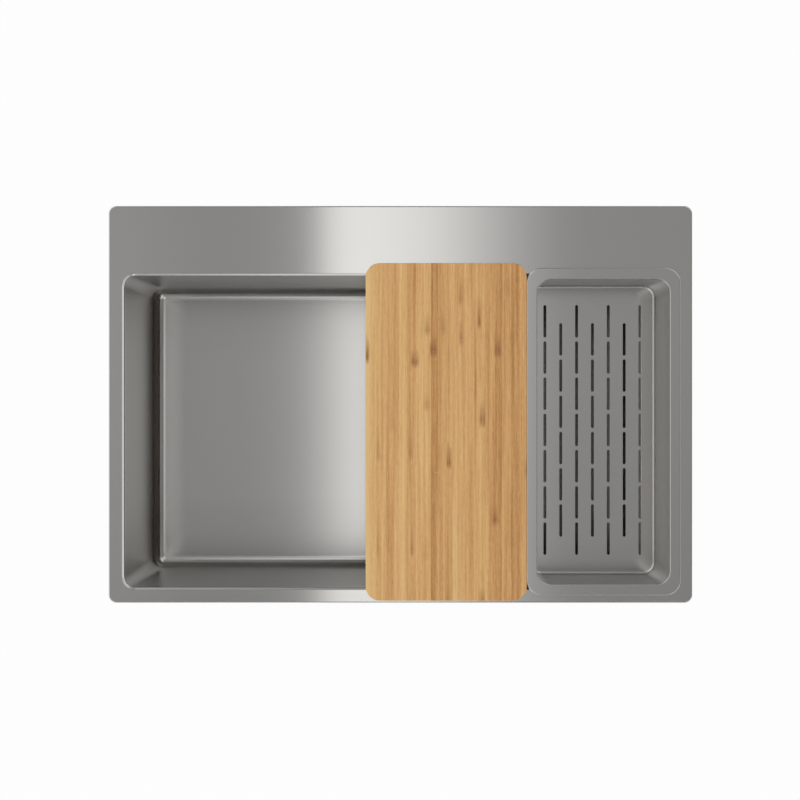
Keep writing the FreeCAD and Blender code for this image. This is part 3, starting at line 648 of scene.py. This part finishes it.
def white_floor():
    """A matt white studio floor that reads as white and still takes the sink's shadow."""
    mottle_size = 500.0 * MM
    mottle_stops = ((0.0, "#F4F4F4"), (1.0, "#F8F8F8"))
    matt_share = 0.9
    white_share = 0.96
    material, tree = new_material("white_studio_floor")
    place = add(tree, COORDINATES).outputs["Object"]
    mottle = add(tree, NOISE, {"Vector": place, "Scale": 1 / mottle_size, "Detail": 2.0}).outputs[0]
    tone = add(tree, RAMP, {0: mottle}, mottle_stops).outputs[0]
    shader = add(tree, PRINCIPLED, {"Base Color": tone, "Roughness": matt_share}).outputs[0]
    path = add(tree, "ShaderNodeLightPath").outputs
    seen = path["Is Camera Ray"]
    for kind in ("Is Glossy Ray", "Is Transmission Ray"):
        seen = add(tree, MATH, {0: seen, 1: path[kind]}, operation="ADD", use_clamp=True).outputs[0]
    share = add(tree, MATH, {0: seen, 1: white_share}, operation="MULTIPLY").outputs[0]
    glow = add(tree, "ShaderNodeEmission", {"Color": (1, 1, 1, 1), "Strength": 1.0}).outputs[0]
    both = add(tree, "ShaderNodeMixShader", {0: share, 1: shader, 2: glow}).outputs[0]
    add(tree, OUTPUT, {"Surface": both})
    return material


def outline(shape, height):
    """Points round a rounded rectangle, the same number for any size."""
    half, corner, centre = shape
    points = []
    for number, (sign_x, sign_y) in enumerate(((1, 1), (-1, 1), (-1, -1), (1, -1))):
        middle_x = centre.x + sign_x * (half.x - corner)
        middle_y = centre.y + sign_y * (half.y - corner)
        for step in range(CORNER_STEPS + 1):
            angle = math.pi / 2 * (number + step / CORNER_STEPS)
            place_x = middle_x + corner * math.cos(angle)
            place_y = middle_y + corner * math.sin(angle)
            points.append(Vector((place_x, place_y, height)))
    return points


def circle(radius, centre, height):
    """Points round a circle, as many as an outline has, from the same start."""
    count = 4 * (CORNER_STEPS + 1)
    points = []
    for step in range(count):
        angle = 2 * math.pi * (step + 0.5) / count
        place_x = centre.x + radius * math.cos(angle)
        place_y = centre.y + radius * math.sin(angle)
        points.append(Vector((place_x, place_y, height)))
    return points


def bend_rings(shape, level, radius, start, end, sideways, upright):
    """Outlines along a bend that joins a wall, at 0 degrees, to the flat at this level, at 90 degrees."""
    rings = []
    for step in range(BEND_STEPS + 1):
        angle = math.radians(start + (end - start) * step / BEND_STEPS)
        shift = radius * (1 - math.cos(angle))
        rise = radius * (1 - math.sin(angle))
        rings.append(outline(spread(shape, sideways * shift), level + upright * rise))
    return rings


def held(rings, closed):
    """Adds a ring close to each end of every flat, so that the flat is shaded flat right up to its bends."""
    kept = []
    following = rings[1:] + rings[:1] if closed else rings[1:]
    for first, second in zip(rings, following):
        kept.append(first)
        spans = [(there - here).length for here, there in zip(first, second)]
        if max(spans) > HELD_SPAN:
            near = [min(HOLD / span, HELD_SHARE) for span in spans]
            kept.append([here.lerp(there, share) for here, there, share in zip(first, second, near)])
            kept.append([there.lerp(here, share) for here, there, share in zip(first, second, near)])
    return kept if closed else kept + rings[-1:]


def loft(name, rings, closed):
    """A mesh skinned through rings of points, closed from last to first or else capped at its ends."""
    shape = bmesh.new()
    rows = [[shape.verts.new(place) for place in ring] for ring in held(rings, closed)]
    following = rows[1:] + rows[:1] if closed else rows[1:]
    for first, second in zip(rows, following):
        for place in range(len(first)):
            after = (place + 1) % len(first)
            shape.faces.new((first[place], first[after], second[after], second[place]))
    if not closed:
        shape.faces.new(rows[0])
        shape.faces.new(rows[-1])
    bmesh.ops.recalc_face_normals(shape, faces=shape.faces)
    return finished_object(name, shape)


def in_scene(name, data):
    """A new object in the scene, with this mesh, lamp or camera."""
    made = bpy.data.objects.new(name, data)
    bpy.context.scene.collection.objects.link(made)
    return made


def finished_object(name, shape):
    """A new object with the mesh that was worked on."""
    mesh = bpy.data.meshes.new(name)
    shape.to_mesh(mesh)
    shape.free()
    return in_scene(name, mesh)


def settle(piece):
    """Turns a piece with modifiers into a plain mesh."""
    bpy.context.view_layer.update()
    graph = bpy.context.evaluated_depsgraph_get()
    ready = piece.evaluated_get(graph)
    mesh = bpy.data.meshes.new_from_object(ready, preserve_all_data_layers=True, depsgraph=graph)
    piece.modifiers.clear()
    piece.data = mesh
    return piece


def smooth(piece):
    """Smooth shading that keeps flat faces flat and real corners sharp."""
    piece.data.shade_smooth()
    piece.data.set_sharp_from_angle(angle=SHARP_ANGLE)
    weighing = piece.modifiers.new("flat faces lead", "WEIGHTED_NORMAL")
    weighing.mode = "FACE_AREA"
    weighing.weight = FLAT_WEIGHT
    weighing.keep_sharp = True
    return settle(piece)


def merged_copy(node, name):
    """A copy of a CAD node with its loose triangles joined."""
    shape = bmesh.new()
    shape.from_mesh(frame["nodes"][node].data)
    bmesh.ops.remove_doubles(shape, verts=shape.verts, dist=JOIN_GAP)
    return finished_object(name, shape)


def take_place(piece, node, material):
    """Gives a piece its material, and lets it stand for a CAD node on that node's body."""
    piece.data.materials.clear()
    piece.data.materials.append(material)
    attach(piece, frame["nodes"][node]["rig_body"])
    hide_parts(node)
    return piece


def deck_steel():
    """The deck: rim turned down outside, a bevelled lip turned down round the bowl, one sheet thick."""
    under = deck_top - DECK_SHEET
    inner_edge = RIM_EDGE - DECK_SHEET
    # The bevel's inner face lies one sheet below its outer one
    inner_lip = LIP_BEVEL - DECK_SHEET * (2 - math.sqrt(2))
    ease_start = deck_top - LIP_BEVEL - LIP_EASE * math.tan(math.pi / 8)
    inside = spread(rim, -DECK_SHEET)
    collar = spread(opening, DECK_SHEET)
    rings = [outline(rim, 0)]
    rings += bend_rings(rim, deck_top, RIM_EDGE, 0, 90, INWARD, DOWNWARD)
    rings.append(outline(spread(opening, LIP_BEVEL), deck_top))
    rings += bend_rings(opening, ease_start + LIP_EASE, LIP_EASE, 45, 0, OUTWARD, DOWNWARD)
    rings.append(outline(opening, deck_low.z))
    rings.append(outline(collar, deck_low.z))
    rings.append(outline(collar, under - inner_lip))
    rings.append(outline(spread(collar, inner_lip), under))
    rings += bend_rings(inside, under, inner_edge, 90, 0, INWARD, DOWNWARD)
    rings.append(outline(inside, 0))
    return smooth(loft("deck_steel", rings, closed=True))


def bowl_steel():
    """The bowl: upright walls, a rounded floor edge, and the drain seat pressed into the floor."""
    under = bowl_floor - BOWL_SHEET
    outside = spread(opening, BOWL_SHEET)
    rings = [outline(opening, bowl_high.z)]
    rings += bend_rings(opening, bowl_floor, FLOOR_BEND, 0, 90, INWARD, UPWARD)
    rings.append(circle(SEAT_RADIUS + SEAT_SLOPE, drain_centre, bowl_floor))
    rings.append(circle(SEAT_RADIUS, drain_centre, bowl_floor - SEAT_DEPTH))
    rings.append(circle(DRAIN_HOLE, drain_centre, bowl_floor - SEAT_DEPTH))
    rings.append(circle(DRAIN_HOLE, drain_centre, under - SEAT_DEPTH))
    rings.append(circle(SEAT_RADIUS, drain_centre, under - SEAT_DEPTH))
    rings.append(circle(SEAT_RADIUS + SEAT_SLOPE, drain_centre, under))
    rings += bend_rings(outside, under, FLOOR_BEND + BOWL_SHEET, 90, 0, INWARD, UPWARD)
    rings.append(outline(outside, bowl_high.z))
    return smooth(loft("bowl_steel", rings, closed=True))


def new_tree(name, lengths, counts):
    """An empty geometry tree with named inputs for its sizes, counts, place and finish."""
    tree = bpy.data.node_groups.new(name, "GeometryNodeTree")
    tree.interface.new_socket("Geometry", in_out="OUTPUT", socket_type="NodeSocketGeometry")
    inputs = {"Geometry": "Geometry"}
    inputs |= {length: "Float" for length in lengths}
    inputs |= {count: "Int" for count in counts}
    inputs |= {"Place": "Vector", "Finish": "Material"}
    for label, kind in inputs.items():
        tree.interface.new_socket(label, in_out="INPUT", socket_type="NodeSocket" + kind)
    return tree, add(tree, "NodeGroupInput").outputs


def cut_away(tree, given, cutters):
    """Ends a tree: takes the cutters away from the piece, and gives what is left its finish."""
    placing = {"Geometry": cutters, "Translation": given["Place"]}
    moved = add(tree, "GeometryNodeTransform", placing).outputs[0]
    solid = add(tree, "GeometryNodeRealizeInstances", {"Geometry": moved}).outputs[0]
    both = {0: given["Geometry"], 1: solid}
    cut = add(tree, "GeometryNodeMeshBoolean", both, operation="DIFFERENCE", solver="MANIFOLD").outputs[0]
    whole = add(tree, "GeometryNodeRealizeInstances", {"Geometry": cut}).outputs[0]
    dressing = {"Geometry": whole, "Material": given["Finish"]}
    dressed = add(tree, "GeometryNodeSetMaterial", dressing).outputs[0]
    add(tree, "NodeGroupOutput", {0: dressed})
    return tree


def slot_tree():
    """Cuts the tray's slots: round-ended prisms on two grids, one of long columns and one of short ones."""
    lengths = ("Slot length", "Slot width", "Slot step", "Column pitch", "Cut depth")
    tree, given = new_tree("tray_slots", lengths, ("Long columns", "Long rows"))
    halving = {0: given["Slot width"], 1: SLOT_ROUND_SHARE}
    half_width = add(tree, MATH, halving, operation="MULTIPLY").outputs[0]
    sides = {"Width": given["Slot width"], "Height": given["Slot length"]}
    square = add(tree, "GeometryNodeCurvePrimitiveQuadrilateral", sides).outputs[0]
    rounding = {"Curve": square, "Radius": half_width, "Count": SLOT_ROUND_STEPS}
    rounded = add(tree, "GeometryNodeFilletCurve", rounding, mode="POLY").outputs[0]
    face = add(tree, "GeometryNodeFillCurve", {"Curve": rounded}, mode="NGONS").outputs[0]
    pull = {"Mesh": face, "Offset": (0, 0, 1), "Offset Scale": given["Cut depth"]}
    pulled = add(tree, "GeometryNodeExtrudeMesh", pull).outputs[0]
    turned = add(tree, "GeometryNodeFlipFaces", {"Mesh": face}).outputs[0]
    closed = add(tree, "GeometryNodeJoinGeometry")
    tree.links.new(pulled, closed.inputs[0])
    tree.links.new(turned, closed.inputs[0])
    joining = {"Geometry": closed.outputs[0], "Distance": SLOT_JOIN_GAP}
    prism = add(tree, "GeometryNodeMergeByDistance", joining).outputs[0]
    doubling = {0: given["Column pitch"], 1: 2.0}
    double_pitch = add(tree, MATH, doubling, operation="MULTIPLY").outputs[0]
    ways = (("X", given["Long columns"], double_pitch), ("Y", given["Long rows"], given["Slot step"]))
    cutters = add(tree, "GeometryNodeJoinGeometry")
    for fewer in (0, 1):
        layout = {}
        for way, most, step in ways:
            count = add(tree, MATH, {0: most, 1: fewer}, operation="SUBTRACT").outputs[0]
            gaps = add(tree, MATH, {0: count, 1: 1}, operation="SUBTRACT").outputs[0]
            layout["Size " + way] = add(tree, MATH, {0: gaps, 1: step}, operation="MULTIPLY").outputs[0]
            layout["Vertices " + way] = count
        grid = add(tree, "GeometryNodeMeshGrid", layout).outputs[0]
        placed = add(tree, "GeometryNodeInstanceOnPoints", {"Points": grid, "Instance": prism}).outputs[0]
        tree.links.new(placed, cutters.inputs[0])
    return cut_away(tree, given, cutters.outputs[0])


def thread_tree():
    """Cuts a thread: a square groove stood on its corner, wound about an upright axis."""
    tree, given = new_tree("thread_groove", ("Radius", "Pitch", "Turns", "Depth"), ("Steps in a turn",))
    climb = {0: given["Pitch"], 1: given["Turns"]}
    winding = {
        "Resolution": given["Steps in a turn"],
        "Rotations": given["Turns"],
        "Start Radius": given["Radius"],
        "End Radius": given["Radius"],
        "Height": add(tree, MATH, climb, operation="MULTIPLY").outputs[0],
    }
    path = add(tree, "GeometryNodeCurveSpiral", winding).outputs[0]
    section = {"Resolution": GROOVE_SIDES, "Radius": given["Depth"]}
    groove = add(tree, "GeometryNodeCurvePrimitiveCircle", section).outputs[0]
    swept = {"Curve": path, "Profile Curve": groove, "Fill Caps": True}
    cutter = add(tree, "GeometryNodeCurveToMesh", swept).outputs[0]
    return cut_away(tree, given, cutter)


def run_tree(piece, tree, values):
    """Runs a node tree on a piece with these input values, and keeps the result as a plain mesh."""
    modifier = piece.modifiers.new(tree.name, "NODES")
    modifier.node_group = tree
    for item in tree.interface.items_tree:
        if item.in_out == "INPUT" and item.name in values:
            modifier[item.identifier] = values[item.name]
    return settle(piece)


def threaded(piece, thread, axis, start, end, values):
    """A piece with a thread cut round its upright axis between two heights."""
    length = {"Turns": (end - start) / values["Pitch"], "Place": (axis.x, axis.y, start)}
    return run_tree(piece, thread, values | length)


def fitting(node, material, thread):
    """A CAD piece with its finish: the clip screws and the outlet get their threads cut."""
    low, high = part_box(node)
    piece = merged_copy(node, node + "_finish")
    finish = {"Finish": material}
    if node.startswith("clip_screw"):
        start = low.z + CLIP_HEAD_HEIGHT
        return threaded(piece, thread, middle(low, high), start, high.z, CLIP_THREAD | finish)
    if node == "waste_body":
        start = low.z - OUTLET_THREAD_PITCH
        end = low.z + OUTLET_THREAD_LENGTH
        return threaded(piece, thread, drain_centre, start, end, OUTLET_THREAD | finish)
    return piece


def tray_steel(finish):
    """The slotted tray: a flange with a turned-down edge and a straight-sided tub with a slotted floor."""
    top = tray_high.z
    under = top - TRAY_SHEET
    floor = tray_low.z + TRAY_SHEET
    centre = middle(tray_low, tray_high)
    inside = spread(tray_rim, -TRAY_SHEET)
    outside = spread(tub, TRAY_SHEET)
    rings = bend_rings(tub, floor, TUB_FLOOR_BEND, 90, 0, INWARD, UPWARD)
    rings += bend_rings(tub, top, TUB_LIP, 0, 90, OUTWARD, DOWNWARD)
    rings += bend_rings(tray_rim, top, TRAY_EDGE, 90, 0, INWARD, DOWNWARD)
    rings.append(outline(tray_rim, deck_top))
    rings.append(outline(inside, deck_top))
    rings += bend_rings(inside, under, TRAY_EDGE - TRAY_SHEET, 0, 90, INWARD, DOWNWARD)
    rings.append(outline(outside, under))
    rings += bend_rings(outside, tray_low.z, TUB_FLOOR_BEND + TRAY_SHEET, 0, 90, INWARD, UPWARD)
    values = {
        "Slot length": SLOT_LENGTH,
        "Slot width": SLOT_WIDTH,
        "Slot step": SLOT_STEP,
        "Column pitch": COLUMN_PITCH,
        "Cut depth": SLOT_CUT_DEPTH,
        "Long columns": LONG_COLUMNS,
        "Long rows": LONG_ROWS,
        "Place": (centre.x, centre.y, tray_low.z - SLOT_CUT_DROP),
        "Finish": finish,
    }
    return smooth(run_tree(loft("tray_steel", rings, closed=False), slot_tree(), values))


def studio_room():
    """A room that is soft overhead, lit from its four corners and side walls, and dim to front and rear."""
    world = bpy.data.worlds.new("studio_room")
    bpy.context.scene.world = world
    world.use_nodes = True
    tree = world.node_tree
    tree.nodes.clear()
    way = add(tree, COORDINATES).outputs["Generated"]
    across = add(tree, SEPARATE, {0: way}).outputs
    flat = add(tree, VECTOR_MATH, {0: way, 1: (1, 1, 0)}, operation="MULTIPLY").outputs[0]
    compass = add(tree, VECTOR_MATH, {0: flat}, operation="NORMALIZE").outputs[0]
    facing = add(tree, SEPARATE, {0: compass}).outputs
    skew = add(tree, MATH, {0: facing[0], 1: facing[1]}, operation="MULTIPLY").outputs[0]
    ways = {
        "side": across[0],
        "depth": across[1],
        "height": across[2],
        "facing side": facing[0],
        "facing depth": facing[1],
        "corner": add(tree, MATH, {0: skew}, operation="ABSOLUTE").outputs[0],
    }
    light = ROOM_BASE_SHARE
    for fades in ROOM_PATCH_SHARES.values():
        patch = 1.0
        for name, start, end, first, last in fades:
            fading = {0: ways[name], 1: start, 2: end, 3: first, 4: last}
            share = add(tree, MAP_RANGE, fading).outputs[0]
            patch = add(tree, MATH, {0: patch, 1: share}, operation="MULTIPLY").outputs[0]
        light = add(tree, MATH, {0: light, 1: patch}, operation="ADD").outputs[0]
    back = add(tree, "ShaderNodeBackground", {"Color": (1, 1, 1, 1), "Strength": light}).outputs[0]
    add(tree, "ShaderNodeOutputWorld", {0: back})


def softbox():
    """A long softbox overhead: its bright band on the steel is sharp on the left and fades to the right."""
    for number, share in enumerate(SOFTBOX_STRIP_SHARES):
        lamp = bpy.data.lights.new("softbox_strip", "AREA")
        lamp.shape = "RECTANGLE"
        lamp.size = SOFTBOX_STRIP
        lamp.size_y = SOFTBOX_LENGTH
        lamp.energy = share * SOFTBOX_RADIANCE * math.pi * SOFTBOX_STRIP * SOFTBOX_LENGTH
        strip = in_scene("softbox_strip", lamp)
        strip.location = (SOFTBOX_LEFT + (number + 0.5) * SOFTBOX_STRIP, 0, deck_top + SOFTBOX_HEIGHT)


def studio_floor():
    """A wide flat floor for the sink to cast its shadow on."""
    low = cad_low.z - FLOOR_DROP
    corners = [(x * FLOOR_REACH, y * FLOOR_REACH, low) for x, y in ((-1, -1), (1, -1), (1, 1), (-1, 1))]
    mesh = bpy.data.meshes.new("floor")
    mesh.from_pydata(corners, [], [(0, 1, 2, 3)])
    floor = in_scene("floor", mesh)
    floor.data.materials.append(white_floor())


def camera():
    """Looks straight down, as the photograph does."""
    lens = bpy.data.cameras.new("camera")
    lens.sensor_fit = "HORIZONTAL"
    lens.sensor_width = SENSOR
    lens.lens = SENSOR * CAMERA_HEIGHT / PHOTO_WIDTH
    lens.clip_start = CAMERA_NEAR
    lens.clip_end = CAMERA_FAR
    holder = in_scene("camera", lens)
    holder.location = (CAMERA_X, CAMERA_Y, deck_top + CAMERA_HEIGHT)
    bpy.context.scene.camera = holder


tray_skin = pressed_stainless()
take_place(deck_steel(), "deck_plate", brushed_stainless())
take_place(bowl_steel(), "bowl", satin_brushed_stainless())
take_place(tray_steel(tray_skin), "colander", tray_skin)
take_place(smooth(merged_copy("cutting_board", "board_bamboo")), "cutting_board", bamboo())

satin = satin_stainless()
zinc = zinc_plated_steel()
rubber = moulded_rubber()
finishes = {
    "waste_flange": satin,
    "basket_cup": satin,
    "basket_stem": satin,
    "clamp_screw": satin,
    "rear_stiffener": zinc,
    "clip_": zinc,
    "rim_seal": closed_cell_foam(),
    "sound_pad": butyl_sheet(),
    "flange_gasket": rubber,
    "body_gasket": rubber,
    "basket_seal": rubber,
    "waste_body": white_polypropylene(),
    "basket_knob": grey_plastic(),
}
thread = thread_tree()
for node in sorted(frame["nodes"]):
    for start, material in finishes.items():
        if node.startswith(start):
            take_place(smooth(fitting(node, material, thread)), node, material)

studio_floor()
studio_room()
softbox()
camera()
bpy.context.scene.view_settings.view_transform = "Standard"
